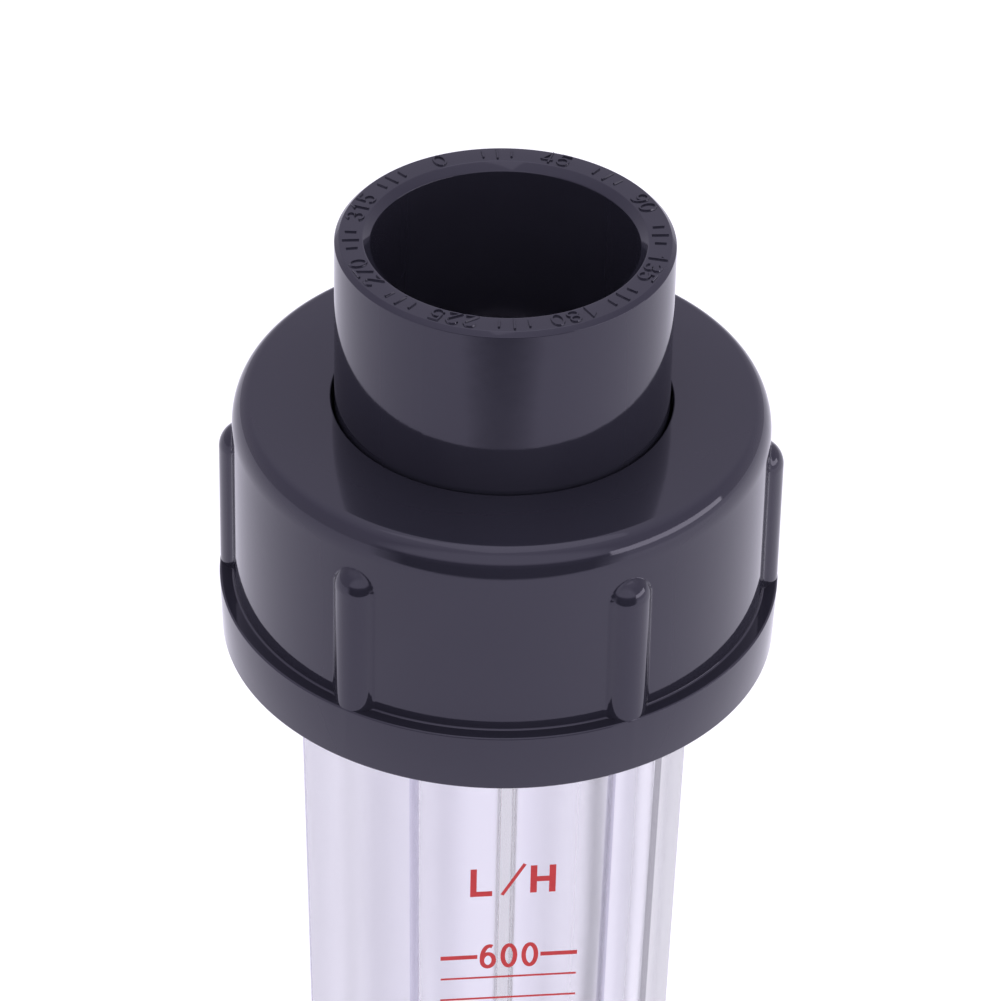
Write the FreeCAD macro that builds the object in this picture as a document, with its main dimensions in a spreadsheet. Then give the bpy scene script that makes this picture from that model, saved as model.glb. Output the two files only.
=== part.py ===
import FreeCAD, Part
import math
import os

import Sketcher

# A small plastic-tube rotameter with a union at each end.
#
# A clear moulded measuring tube of hexagonal section, narrower towards its lower end, holds a
# stainless float in a tapered bore with three guide ribs.  A stop sits in each end of the tube,
# an O-ring in each end face, and a socket tailpiece is drawn onto each end by a ribbed union nut.
#
# Frame: millimetres, +Z up along the tube, origin at the centre of the lower tailpiece's rim,
# scale face towards -Y.

DRIVING_SIZES = [
    # alias, value, what it is
    ("tube_length", 181.4, "measuring tube, end face to end face"),
    ("collar_radius", 16.3, "tube end collar, root of the outside thread"),
    ("collar_length", 11.9, "tube end collar, along the axis"),
    ("collar_lead", 0.6, "chamfer at the collar's outer end"),
    ("hexagon_upper_radius", 15.7, "corner radius of the hexagon under the upper collar"),
    ("hexagon_lower_radius", 12.3, "corner radius of the hexagon above the lower collar"),
    ("hexagon_corner_round", 0.8, "rounding of the hexagon's six long edges"),
    ("bore_upper_radius", 9.15, "bore above the scale"),
    ("bore_lower_radius", 6.6, "bore below the scale"),
    ("scale_start", 26.7, "height of the lowest scale line above the tube's lower face"),
    ("scale_span", 118.8, "lowest to highest scale line"),
    ("guide_radius", 6.3, "circle inside the guide ribs' inner edges"),
    ("guide_width", 1.1, "guide rib, across"),
    ("guide_count", 3, "guide ribs"),
    ("guide_root", 0.4, "how far a guide rib's foot runs into the wall"),
    ("recess_radius", 11.0, "seat for a float stop in each end face"),
    ("recess_depth", 4.5, "depth of that seat"),
    ("seal_groove_radius", 13.6, "middle of the O-ring groove"),
    ("seal_groove_width", 2.8, "O-ring groove, across"),
    ("seal_groove_depth", 2.1, "O-ring groove, deep"),
    ("seal_side_room", 0.1, "room on each side of the squeezed O-ring"),
    ("seal_flat", 0.9, "width of the squeezed O-ring's flats"),
    ("seal_bulge", 0.3, "share of its depth below which the squeezed O-ring bulges"),
    ("socket_radius", 10.1, "pipe socket"),
    ("socket_depth", 16.0, "pipe socket, mouth to stop"),
    ("socket_chamfer", 0.6, "chamfer at the socket's mouth"),
    ("passage_radius", 8.2, "flow passage behind the socket"),
    ("spigot_radius", 12.8, "outside of the tailpiece's barrel"),
    ("spigot_exposed", 14.4, "barrel standing out of the nut"),
    ("rim_chamfer", 0.35, "chamfer at the rim's outer edge"),
    ("shoulder_radius", 16.1, "tailpiece shoulder held under the nut's roof"),
    ("shoulder_thickness", 4.6, "tailpiece shoulder, along the axis"),
    ("nut_height", 21.2, "union nut, along the axis"),
    ("nut_roof", 4.3, "thickness of the nut's roof"),
    ("nut_hole_room", 0.25, "radial room between nut and barrel"),
    ("nut_thread_room", 1.15, "radial room between collar and nut for both threads"),
    ("nut_wall_upper_radius", 20.6, "nut wall at the roof, before rounding"),
    ("nut_wall_lower_radius", 20.85, "nut wall at its foot"),
    ("nut_flange_radius", 21.7, "nut's bottom flange at its upper edge"),
    ("nut_flange_draft", 0.2, "how much smaller the flange's radius is at its lower edge"),
    ("nut_flange_height", 5.0, "nut's bottom flange, along the axis"),
    ("nut_top_round", 1.8, "rounding of the nut's top edge"),
    ("nut_edge_chamfer", 0.25, "chamfer at the flange's two edges"),
    ("nut_foot_chamfer", 0.25, "chamfer where the wall meets the flange"),
    ("nut_mouth_chamfer", 0.8, "chamfer at the nut's open end"),
    ("grip_radius", 1.65, "half-round grip rib on the nut"),
    ("grip_inset", 0.02, "how far a grip rib stays inside the flange's edge"),
    ("grip_count", 6, "grip ribs"),
    ("grip_drop", 3.5, "from the nut's top to a grip rib's top"),
    ("upper_nut_angle", -7.7, "where the upper nut's first rib stands, in degrees"),
    ("lower_nut_angle", 17.0, "where the lower nut's first rib stands, in degrees"),
    ("stop_room", 0.1, "radial room around a float stop"),
    ("stop_inner_radius", 8.2, "inside of a float stop's ring"),
    ("stop_hub_radius", 2.2, "hub that the float meets"),
    ("stop_hub_rise", 1.5, "how far the hub stands past the ring"),
    ("stop_hub_chamfer", 0.8, "chamfer at the hub's nose"),
    ("stop_spoke_width", 1.6, "spoke, across"),
    ("stop_spoke_height", 3.0, "spoke, along the axis"),
    ("stop_spoke_count", 3, "spokes"),
    ("stop_spoke_root", 0.3, "how far a spoke runs into the ring"),
    ("float_guide_room", 0.08, "radial room between float and guide ribs"),
    ("float_tip_radius", 1.2, "flat at the float's lower tip"),
    ("float_cone_height", 9.0, "float's lower cone"),
    ("float_body_radius", 4.9, "float's middle"),
    ("float_body_height", 6.0, "float's middle, along the axis"),
    ("float_flare_height", 2.0, "flare from the middle to the head"),
    ("float_head_height", 2.5, "float's head, whose upper edge is read"),
    ("float_cap_radius", 3.6, "step on top of the head"),
    ("float_cap_height", 2.5, "that step, along the axis"),
    ("float_cap_chamfer", 0.4, "chamfer at the float's cap"),
]

doc = FreeCAD.newDocument("Rotameter")
sheet = doc.addObject("Spreadsheet::Sheet", "Sizes")
for row, (alias, value, meaning) in enumerate(DRIVING_SIZES, start=1):
    sheet.set(f"A{row}", meaning)
    sheet.set(f"B{row}", str(value))
    sheet.setAlias(f"B{row}", alias)
doc.recompute()


def size(expression):
    """The number that an expression on the sheet comes to."""
    return float(sheet.evalExpression(expression))


# Lengths that follow from the driving sizes, as expressions on the sheet.
TAILPIECE_LENGTH = "(Sizes.spigot_exposed + Sizes.nut_roof + Sizes.shoulder_thickness)"
TUBE_TOP = f"({TAILPIECE_LENGTH} + Sizes.tube_length)"
NUT_HOLE_RADIUS = "(Sizes.spigot_radius + Sizes.nut_hole_room)"
NUT_BORE_RADIUS = "(Sizes.collar_radius + Sizes.nut_thread_room)"
NUT_REACH = "(Sizes.nut_height - Sizes.nut_roof - Sizes.shoulder_thickness)"
GROOVE_INNER = "(Sizes.seal_groove_radius - Sizes.seal_groove_width / 2)"
GROOVE_OUTER = "(Sizes.seal_groove_radius + Sizes.seal_groove_width / 2)"
STOP_SEAT = f"({TAILPIECE_LENGTH} + Sizes.recess_depth)"
FLOAT_HEAD_RADIUS = "(Sizes.guide_radius - Sizes.float_guide_room)"


def new_body(label):
    """An empty body whose label names the piece."""
    body = doc.addObject("PartDesign::Body", label)
    body.Label = label
    return body


def origin_plane(body, role):
    """One of the body's own origin planes, such as XZ_Plane."""
    return next(f for f in body.Origin.OriginFeatures if f.Role == role)


def new_sketch(body, name, role, height=None):
    """A sketch on one of the body's origin planes, raised along its normal if a height is given."""
    sketch = body.newObject("Sketcher::SketchObject", name)
    sketch.AttachmentSupport = [(origin_plane(body, role), "")]
    sketch.MapMode = "FlatFace"
    if height:
        sketch.setExpression("AttachmentOffset.Base.z", height)
    return sketch


def pin_point(sketch, line, end, across, up, tag):
    """Ties one line end to its expressions, counted from the sketch's origin."""
    for kind, text, axis in (("DistanceX", across, -2), ("DistanceY", up, -1)):
        if text == "0":
            sketch.addConstraint(Sketcher.Constraint("PointOnObject", line, end, axis))
            continue
        index = sketch.addConstraint(Sketcher.Constraint(kind, -1, 1, line, end, size(text)))
        label = f"{tag}_{kind}"
        sketch.renameConstraint(index, label)
        sketch.setExpression(f"Constraints.{label}", text)


def section(body, name, corners):
    """A closed outline in the plane of the axis, its corners given as (radius, height)."""
    sketch = new_sketch(body, name, "XZ_Plane")
    points = [FreeCAD.Vector(size(across), size(up), 0) for across, up in corners]
    for start, finish in zip(points, points[1:] + points[:1]):
        sketch.addGeometry(Part.LineSegment(start, finish), False)
    for line in range(len(points)):
        following = (line + 1) % len(points)
        sketch.addConstraint(Sketcher.Constraint("Coincident", line, 2, following, 1))
    for line, (across, up) in enumerate(corners):
        pin_point(sketch, line, 1, across, up, f"corner{line}")
    return sketch


def turned(body, name, corners, kind="PartDesign::Revolution"):
    """A turned shape, or a turned cut where the kind is a groove."""
    sketch = section(body, f"{name}_section", corners)
    feature = body.newObject(kind, name)
    feature.Profile = sketch
    feature.ReferenceAxis = (sketch, ["V_Axis"])
    feature.Angle = 360
    doc.recompute()
    return feature


def turned_cut(body, name, corners):
    """A turned cut that has to take material away."""
    before = body.Shape.Volume
    feature = turned(body, name, corners, "PartDesign::Groove")
    if body.Shape.Volume >= before:
        raise RuntimeError(f"{name} cut nothing")
    return feature


def ring_edges(shape, *rings):
    """Names of the circular edges about the axis, found by (radius, height)."""
    found = []
    for number, edge in enumerate(shape.Edges, start=1):
        curve = edge.Curve
        if not isinstance(curve, Part.Circle) or math.hypot(curve.Center.x, curve.Center.y) > 1e-4:
            continue
        for radius, height in rings:
            near = abs(curve.Radius - size(radius)) < 1e-4
            if near and abs(curve.Center.z - size(height)) < 1e-4:
                found.append(f"Edge{number}")
    if not found:
        raise RuntimeError(f"no edge at {rings}")
    return found


def rounded(body, name, radius, edges):
    """Rounds the named edges of what the body holds so far."""
    feature = body.newObject("PartDesign::Fillet", name)
    feature.Base = (feature.BaseFeature, edges)
    feature.setExpression("Radius", radius)
    body.Tip = feature
    doc.recompute()
    return feature


def repeated(body, name, originals, count):
    """Repeats features around the axis."""
    pattern = body.newObject("PartDesign::PolarPattern", name)
    pattern.Originals = originals
    pattern.Axis = (origin_axis(body), [""])
    pattern.Angle = 360
    pattern.setExpression("Occurrences", count)
    body.Tip = pattern
    doc.recompute()
    return pattern


def origin_axis(body):
    """The body's own Z axis."""
    return next(f for f in body.Origin.OriginFeatures if f.Role == "Z_Axis")


def stand(body, height, turn="0"):
    """Puts a piece upright at a height, turned about the axis by an angle in degrees."""
    # Any angle but 0 fixes the line that the expression's angle is counted about.
    body.Placement.Rotation = FreeCAD.Rotation(FreeCAD.Vector(0, 0, 1), 30)
    body.setExpression("Placement.Rotation.Angle", f"{turn} * 1deg")
    body.setExpression("Placement.Base.z", height)


def hang(body, height, turn="0"):
    """Puts a piece upside down at a height: half a turn about a level line at an angle in degrees."""
    level = math.radians(size(turn))
    line = FreeCAD.Vector(math.cos(level), math.sin(level), 0)
    body.Placement.Rotation = FreeCAD.Rotation(line, 180)
    body.setExpression("Placement.Base.z", height)


def radial_bar(body, name, width, count, corners):
    """Flat bars standing on the axis like spokes, from their outline as (radius, height)."""
    sketch = section(body, f"{name}_section", corners)
    bar = body.newObject("PartDesign::Pad", name)
    bar.Profile = sketch
    bar.SideType = "Symmetric"
    bar.setExpression("Length", width)
    doc.recompute()
    return repeated(body, f"{name}s", [bar], count)


def hexagon(body, name, radius, height):
    """A hexagon about the axis with a flat side towards +X, raised to a height."""
    sketch = new_sketch(body, name, "XY_Plane", height)
    reach = size(radius)
    corners = []
    for turn in range(6):
        angle = math.radians(60 * turn - 30)
        corners.append(FreeCAD.Vector(reach * math.cos(angle), reach * math.sin(angle), 0))
    for start, finish in zip(corners, corners[1:] + corners[:1]):
        sketch.addGeometry(Part.LineSegment(start, finish), False)
    circle = sketch.addGeometry(Part.Circle(FreeCAD.Vector(0, 0, 0), FreeCAD.Vector(0, 0, 1), reach))
    sketch.toggleConstruction(circle)
    sketch.addConstraint(Sketcher.Constraint("Coincident", circle, 3, -1, 1))
    for line in range(6):
        sketch.addConstraint(Sketcher.Constraint("Coincident", line, 2, (line + 1) % 6, 1))
        sketch.addConstraint(Sketcher.Constraint("PointOnObject", line, 1, circle))
        if line:
            sketch.addConstraint(Sketcher.Constraint("Equal", 0, line))
    sketch.addConstraint(Sketcher.Constraint("Vertical", 0))
    index = sketch.addConstraint(Sketcher.Constraint("Radius", circle, reach))
    sketch.renameConstraint(index, "corner_radius")
    sketch.setExpression("Constraints.corner_radius", radius)
    return sketch


def make_measuring_tube():
    """The clear tube: hexagon between two collars, tapered bore, guide ribs and end-face seats."""
    body = new_body("measuring_tube")
    length = "Sizes.tube_length"
    upper_shoulder = "(Sizes.tube_length - Sizes.collar_length)"
    lower = hexagon(body, "hexagon_lower", "Sizes.hexagon_lower_radius", "Sizes.collar_length")
    upper = hexagon(body, "hexagon_upper", "Sizes.hexagon_upper_radius", upper_shoulder)
    column = body.newObject("PartDesign::AdditiveLoft", "column")
    column.Profile = lower
    column.Sections = [upper]
    column.Ruled = True
    doc.recompute()
    long_edges = []
    for number, edge in enumerate(body.Shape.Edges, start=1):
        rise = abs(edge.Vertexes[0].Point.z - edge.Vertexes[-1].Point.z)
        if rise > 1:
            long_edges.append(f"Edge{number}")
    rounded(body, "column_corners", "Sizes.hexagon_corner_round", long_edges)

    for name, bottom, top, lead, root in (
        ("lower_collar", "0", "Sizes.collar_length", "Sizes.collar_lead", "0"),
        ("upper_collar", length, upper_shoulder, f"{length} - Sizes.collar_lead", length),
    ):
        turned(body, name, [
            ("0", bottom),
            ("Sizes.collar_radius - Sizes.collar_lead", root),
            ("Sizes.collar_radius", lead),
            ("Sizes.collar_radius", top),
            ("0", top),
        ])

    taper_foot = "Sizes.scale_start"
    taper_head = "(Sizes.scale_start + Sizes.scale_span)"
    upper_seat = "(Sizes.tube_length - Sizes.recess_depth)"
    turned_cut(body, "bore", [
        ("0", "0"),
        ("Sizes.recess_radius", "0"),
        ("Sizes.recess_radius", "Sizes.recess_depth"),
        ("Sizes.bore_lower_radius", "Sizes.recess_depth"),
        ("Sizes.bore_lower_radius", taper_foot),
        ("Sizes.bore_upper_radius", taper_head),
        ("Sizes.bore_upper_radius", upper_seat),
        ("Sizes.recess_radius", upper_seat),
        ("Sizes.recess_radius", length),
        ("0", length),
    ])
    floor = "Sizes.seal_groove_depth"
    turned_cut(body, "lower_seal_groove", [
        (GROOVE_INNER, "0"), (GROOVE_OUTER, "0"), (GROOVE_OUTER, floor), (GROOVE_INNER, floor),
    ])
    ceiling = "Sizes.tube_length - Sizes.seal_groove_depth"
    turned_cut(body, "upper_seal_groove", [
        (GROOVE_INNER, ceiling), (GROOVE_OUTER, ceiling), (GROOVE_OUTER, length), (GROOVE_INNER, length),
    ])
    lower_foot = "Sizes.bore_lower_radius + Sizes.guide_root"
    upper_foot = "Sizes.bore_upper_radius + Sizes.guide_root"
    radial_bar(body, "guide", "Sizes.guide_width", "Sizes.guide_count", [
        ("Sizes.guide_radius", "Sizes.recess_depth"),
        (lower_foot, "Sizes.recess_depth"),
        (lower_foot, taper_foot),
        (upper_foot, taper_head),
        (upper_foot, upper_seat),
        ("Sizes.guide_radius", upper_seat),
    ])
    stand(body, TAILPIECE_LENGTH, "-90")
    return body


def make_tailpiece(label):
    """A pipe socket with a shoulder at its foot; its sealing face is at height 0, its rim on top."""
    body = new_body(label)
    shoulder = "Sizes.shoulder_thickness"
    socket_floor = f"({TAILPIECE_LENGTH} - Sizes.socket_depth)"
    turned(body, "barrel", [
        ("Sizes.passage_radius", "0"),
        ("Sizes.shoulder_radius", "0"),
        ("Sizes.shoulder_radius", shoulder),
        ("Sizes.spigot_radius", shoulder),
        ("Sizes.spigot_radius", f"{TAILPIECE_LENGTH} - Sizes.rim_chamfer"),
        ("Sizes.spigot_radius - Sizes.rim_chamfer", TAILPIECE_LENGTH),
        ("Sizes.socket_radius + Sizes.socket_chamfer", TAILPIECE_LENGTH),
        ("Sizes.socket_radius", f"{TAILPIECE_LENGTH} - Sizes.socket_chamfer"),
        ("Sizes.socket_radius", socket_floor),
        ("Sizes.passage_radius", socket_floor),
    ])
    return body


def make_union_nut(label):
    """A union nut with a flange at its open end, at height 0, and half-round ribs to grip it by."""
    body = new_body(label)
    ledge = "Sizes.nut_flange_height"
    edge = "Sizes.nut_edge_chamfer"
    roof = "(Sizes.nut_height - Sizes.nut_roof)"
    turned(body, "shell", [
        (f"{NUT_BORE_RADIUS} + Sizes.nut_mouth_chamfer", "0"),
        (f"Sizes.nut_flange_radius - Sizes.nut_flange_draft - {edge}", "0"),
        ("Sizes.nut_flange_radius - Sizes.nut_flange_draft", edge),
        ("Sizes.nut_flange_radius", f"{ledge} - {edge}"),
        (f"Sizes.nut_flange_radius - {edge}", ledge),
        ("Sizes.nut_wall_lower_radius + Sizes.nut_foot_chamfer", ledge),
        ("Sizes.nut_wall_lower_radius", f"{ledge} + Sizes.nut_foot_chamfer"),
        ("Sizes.nut_wall_upper_radius", "Sizes.nut_height"),
        (NUT_HOLE_RADIUS, "Sizes.nut_height"),
        (NUT_HOLE_RADIUS, roof),
        (NUT_BORE_RADIUS, roof),
        (NUT_BORE_RADIUS, "Sizes.nut_mouth_chamfer"),
    ])
    top = ring_edges(body.Shape, ("Sizes.nut_wall_upper_radius", "Sizes.nut_height"))
    rounded(body, "top_edge", "Sizes.nut_top_round", top)

    grip_foot = f"({ledge} / 2)"
    grip_top = "(Sizes.nut_height - Sizes.grip_drop - Sizes.grip_radius)"
    across = "(Sizes.nut_flange_radius - Sizes.grip_radius - Sizes.grip_inset)"
    stem = body.newObject("PartDesign::AdditiveCylinder", "grip_stem")
    nose = body.newObject("PartDesign::AdditiveSphere", "grip_nose")
    for piece, height in ((stem, grip_foot), (nose, grip_top)):
        piece.AttachmentSupport = [(origin_plane(body, "XY_Plane"), "")]
        piece.MapMode = "FlatFace"
        piece.setExpression("AttachmentOffset.Base.x", across)
        piece.setExpression("AttachmentOffset.Base.z", height)
        piece.setExpression("Radius", "Sizes.grip_radius")
    stem.setExpression("Height", f"{grip_top} - {grip_foot}")
    doc.recompute()
    repeated(body, "grips", [stem, nose], "Sizes.grip_count")
    return body


def make_o_ring(label):
    """An O-ring squeezed into its groove, its lower flat at height 0."""
    body = new_body(label)
    inner = f"({GROOVE_INNER} + Sizes.seal_side_room)"
    outer = f"({GROOVE_OUTER} - Sizes.seal_side_room)"
    flat_inner = "(Sizes.seal_groove_radius - Sizes.seal_flat / 2)"
    flat_outer = "(Sizes.seal_groove_radius + Sizes.seal_flat / 2)"
    height = "Sizes.seal_groove_depth"
    low = f"(Sizes.seal_bulge * {height})"
    high = f"((1 - Sizes.seal_bulge) * {height})"
    turned(body, "ring", [
        (flat_inner, "0"), (flat_outer, "0"), (outer, low), (outer, high),
        (flat_outer, height), (flat_inner, height), (inner, high), (inner, low),
    ])
    return body


def make_float_stop(label):
    """A ring with spokes and a blunt hub; the hub stands up past the ring at height 0."""
    body = new_body(label)
    ring_outer = "(Sizes.recess_radius - Sizes.stop_room)"
    top = "Sizes.recess_depth"
    hub_top = "(Sizes.recess_depth + Sizes.stop_hub_rise)"
    spoke_foot = "(Sizes.recess_depth - Sizes.stop_spoke_height)"
    turned(body, "ring", [
        ("Sizes.stop_inner_radius", "0"), (ring_outer, "0"), (ring_outer, top), ("Sizes.stop_inner_radius", top),
    ])
    spoke_end = "(Sizes.stop_inner_radius + Sizes.stop_spoke_root)"
    radial_bar(body, "spoke", "Sizes.stop_spoke_width", "Sizes.stop_spoke_count", [
        ("0", spoke_foot), (spoke_end, spoke_foot), (spoke_end, top), ("0", top),
    ])
    turned(body, "hub", [
        ("0", spoke_foot),
        ("Sizes.stop_hub_radius", spoke_foot),
        ("Sizes.stop_hub_radius", f"{hub_top} - Sizes.stop_hub_chamfer"),
        ("Sizes.stop_hub_radius - Sizes.stop_hub_chamfer", hub_top),
        ("0", hub_top),
    ])
    return body


def make_float():
    """The turned float: blunt cone, body, flare, reading head and cap, from its tip at height 0."""
    body = new_body("float")
    shoulder = "Sizes.float_cone_height"
    flare = f"({shoulder} + Sizes.float_body_height)"
    head = f"({flare} + Sizes.float_flare_height)"
    edge = f"({head} + Sizes.float_head_height)"
    crown = f"({edge} + Sizes.float_cap_height)"
    turned(body, "profile", [
        ("0", "0"),
        ("Sizes.float_tip_radius", "0"),
        ("Sizes.float_body_radius", shoulder),
        ("Sizes.float_body_radius", flare),
        (FLOAT_HEAD_RADIUS, head),
        (FLOAT_HEAD_RADIUS, edge),
        ("Sizes.float_cap_radius", edge),
        ("Sizes.float_cap_radius", f"{crown} - Sizes.float_cap_chamfer"),
        ("Sizes.float_cap_radius - Sizes.float_cap_chamfer", crown),
        ("0", crown),
    ])
    return body


measuring_tube = make_measuring_tube()
upper_tailpiece = make_tailpiece("upper_tailpiece")
lower_tailpiece = make_tailpiece("lower_tailpiece")
upper_nut = make_union_nut("upper_union_nut")
lower_nut = make_union_nut("lower_union_nut")
upper_seal = make_o_ring("upper_o_ring")
lower_seal = make_o_ring("lower_o_ring")
upper_stop = make_float_stop("upper_float_stop")
lower_stop = make_float_stop("lower_float_stop")
float_piece = make_float()

stand(upper_tailpiece, TUBE_TOP)
hang(lower_tailpiece, TAILPIECE_LENGTH)
stand(upper_nut, f"{TUBE_TOP} - {NUT_REACH}", "Sizes.upper_nut_angle")
hang(lower_nut, f"{TAILPIECE_LENGTH} + {NUT_REACH}", "Sizes.lower_nut_angle")
stand(upper_seal, f"{TUBE_TOP} - Sizes.seal_groove_depth")
stand(lower_seal, TAILPIECE_LENGTH)
hang(upper_stop, TUBE_TOP, "-90")
stand(lower_stop, TAILPIECE_LENGTH, "-90")
stand(float_piece, f"{STOP_SEAT} + Sizes.stop_hub_rise")

doc.recompute()

pieces = [o for o in doc.Objects if o.TypeId == "PartDesign::Body"]
for item in doc.Objects:
    if "Invalid" in item.State or "Error" in item.State:
        raise RuntimeError(f"{item.Label} could not be computed")
for piece in pieces:
    if piece.Shape.isNull() or not piece.Shape.isValid():
        raise RuntimeError(f"{piece.Label} has no valid shape")
    if len(piece.Shape.Solids) != 1:
        raise RuntimeError(f"{piece.Label} is not one solid")

os.makedirs("parts", exist_ok=True)
for piece in pieces:
    piece.Shape.exportStep(f"parts/{piece.Label}.step")
    box = piece.Shape.BoundBox
    print(f"{piece.Label}: {piece.Shape.Volume:.0f} mm3, z {box.ZMin:.2f} to {box.ZMax:.2f}")
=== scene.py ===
import math

import bmesh
import bpy
from mathutils import Matrix, Vector


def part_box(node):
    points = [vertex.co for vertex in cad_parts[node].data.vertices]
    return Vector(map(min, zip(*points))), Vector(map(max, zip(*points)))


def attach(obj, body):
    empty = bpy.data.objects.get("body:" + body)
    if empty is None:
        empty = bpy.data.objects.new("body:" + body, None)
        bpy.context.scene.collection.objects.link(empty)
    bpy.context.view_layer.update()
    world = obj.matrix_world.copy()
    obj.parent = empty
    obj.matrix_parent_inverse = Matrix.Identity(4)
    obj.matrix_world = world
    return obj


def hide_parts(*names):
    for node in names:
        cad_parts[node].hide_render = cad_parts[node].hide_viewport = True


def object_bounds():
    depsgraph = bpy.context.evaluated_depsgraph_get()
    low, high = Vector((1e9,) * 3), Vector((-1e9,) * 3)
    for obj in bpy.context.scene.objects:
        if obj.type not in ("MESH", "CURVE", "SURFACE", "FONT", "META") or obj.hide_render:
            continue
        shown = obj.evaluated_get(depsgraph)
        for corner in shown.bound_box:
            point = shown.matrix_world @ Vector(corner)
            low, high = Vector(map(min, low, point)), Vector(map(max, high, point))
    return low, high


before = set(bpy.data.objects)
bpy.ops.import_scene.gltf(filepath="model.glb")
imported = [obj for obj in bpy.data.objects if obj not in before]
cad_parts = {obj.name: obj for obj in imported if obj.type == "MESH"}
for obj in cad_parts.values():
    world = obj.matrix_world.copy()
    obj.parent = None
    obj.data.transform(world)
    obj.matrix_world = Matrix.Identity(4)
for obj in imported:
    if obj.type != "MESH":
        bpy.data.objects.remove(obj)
CAD_BOX = [list(corner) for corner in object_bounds()]

# Everything below is in metres in the CAD frame: +Z up the tube, scale face towards -Y.
MM = 0.001
TURN = 2 * math.pi
# Two radii closer than this are the same one.
SAME_RADIUS = 0.01 * MM

# Radii and lengths of the dressed pieces. They are part.py's, but for the foot of the nut's wall, its
# top edge and its grips, which follow the photograph more closely.
COLLAR_RADIUS = 16.3 * MM
COLLAR_LENGTH = 11.9 * MM
COLLAR_LEAD = 0.6 * MM
HEXAGON_UPPER = 15.7 * MM
HEXAGON_LOWER = 12.3 * MM
HEXAGON_ROUND = 0.8 * MM
BORE_UPPER = 9.15 * MM
BORE_LOWER = 6.6 * MM
SCALE_START = 26.7 * MM
SCALE_SPAN = 118.8 * MM
GUIDE_RADIUS = 6.3 * MM
GUIDE_WIDTH = 1.1 * MM
RECESS_RADIUS = 11.0 * MM
RECESS_DEPTH = 4.5 * MM
GROOVE_INNER = 12.2 * MM
GROOVE_OUTER = 15.0 * MM
GROOVE_DEPTH = 2.1 * MM
SOCKET_RADIUS = 10.1 * MM
SOCKET_DEPTH = 16.0 * MM
PASSAGE_RADIUS = 8.2 * MM
SPIGOT_RADIUS = 12.8 * MM
SHOULDER_RADIUS = 16.1 * MM
SHOULDER_THICKNESS = 4.6 * MM
RIM_CHAMFER = 0.35 * MM
SOCKET_CHAMFER = 0.6 * MM
NUT_ROOF = 4.3 * MM
NUT_HOLE = 13.05 * MM
NUT_BORE = 17.45 * MM
NUT_WALL_UPPER = 20.6 * MM
NUT_WALL_LOWER = 20.62 * MM
NUT_FLANGE = 21.7 * MM
NUT_FLANGE_DRAFT = 0.2 * MM
NUT_FLANGE_HEIGHT = 5.0 * MM
# The rounding of a nut's top edge is a quarter ellipse in section, this wide and this high.
NUT_TOP_INSET = 1.4 * MM
NUT_TOP_DROP = 2.4 * MM
GRIP_RADIUS = 1.97 * MM
GRIP_CENTRE = 19.71 * MM
GRIP_COUNT = 6
GRIP_DROP = 3.5 * MM
GRIP_NOSE = 2.1 * MM
UPPER_NUT_ANGLE = math.radians(-7.7)
LOWER_NUT_ANGLE = math.radians(17.0)

# Threads: right-hand, the nut's ridge half a turn's rise away from the collar's.
THREAD_PITCH = 3.0 * MM
MALE_CREST = 17.1 * MM
FEMALE_CREST = 16.6 * MM
THREAD_ROOT_HALF = 0.78 * MM
THREAD_CREST_HALF = 0.3 * MM
THREAD_RUNOUT = 0.9 * MM

# Printed scale and raised marks.
PRINT_LIFT = 0.004 * MM
PRINT_THICKNESS = 0.02 * MM
RIM_MARK_HEIGHT = 0.12 * MM

tube_low, tube_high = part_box("measuring_tube")
upper_tail_low, upper_tail_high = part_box("upper_tailpiece")
lower_tail_low, lower_tail_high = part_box("lower_tailpiece")
upper_nut_low, upper_nut_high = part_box("upper_union_nut")
lower_nut_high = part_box("lower_union_nut")[1]
TUBE_FOOT = tube_low.z
TUBE_TOP = tube_high.z
TAIL_LENGTH = upper_tail_high.z - upper_tail_low.z
NUT_HEIGHT = upper_nut_high.z - upper_nut_low.z
HEX_FOOT = TUBE_FOOT + COLLAR_LENGTH
HEX_TOP = TUBE_TOP - COLLAR_LENGTH


# ---------------------------------------------------------------- mesh helpers

def smoothstep(low, high, value):
    """0 below low, 1 above high, and a smooth rise between."""
    t = min(1.0, max(0.0, (value - low) / (high - low)))
    return t * t * (3 - 2 * t)


def mesh_object(name, vertices, faces, sharp=35):
    """A linked mesh object, smooth except where faces meet at more than an angle in degrees."""
    mesh = bpy.data.meshes.new(name)
    mesh.from_pydata(vertices, [], faces)
    mesh.validate()
    work = bmesh.new()
    work.from_mesh(mesh)
    bmesh.ops.recalc_face_normals(work, faces=work.faces)
    work.to_mesh(mesh)
    work.free()
    mesh.update()
    mesh.shade_smooth()
    mesh.set_sharp_from_angle(angle=math.radians(sharp))
    obj = bpy.data.objects.new(name, mesh)
    bpy.context.scene.collection.objects.link(obj)
    return obj


def loops_mesh(name, loops, sharp=35):
    """A closed skin over loops of equal length, which joins the last loop to the first."""
    count = len(loops[0])
    vertices = [point for loop in loops for point in loop]
    faces = []
    for row in range(len(loops)):
        following = (row + 1) % len(loops)
        for column in range(count):
            right = (column + 1) % count
            faces.append((row * count + column, row * count + right,
                          following * count + right, following * count + column))
    return mesh_object(name, vertices, faces, sharp)


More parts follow.
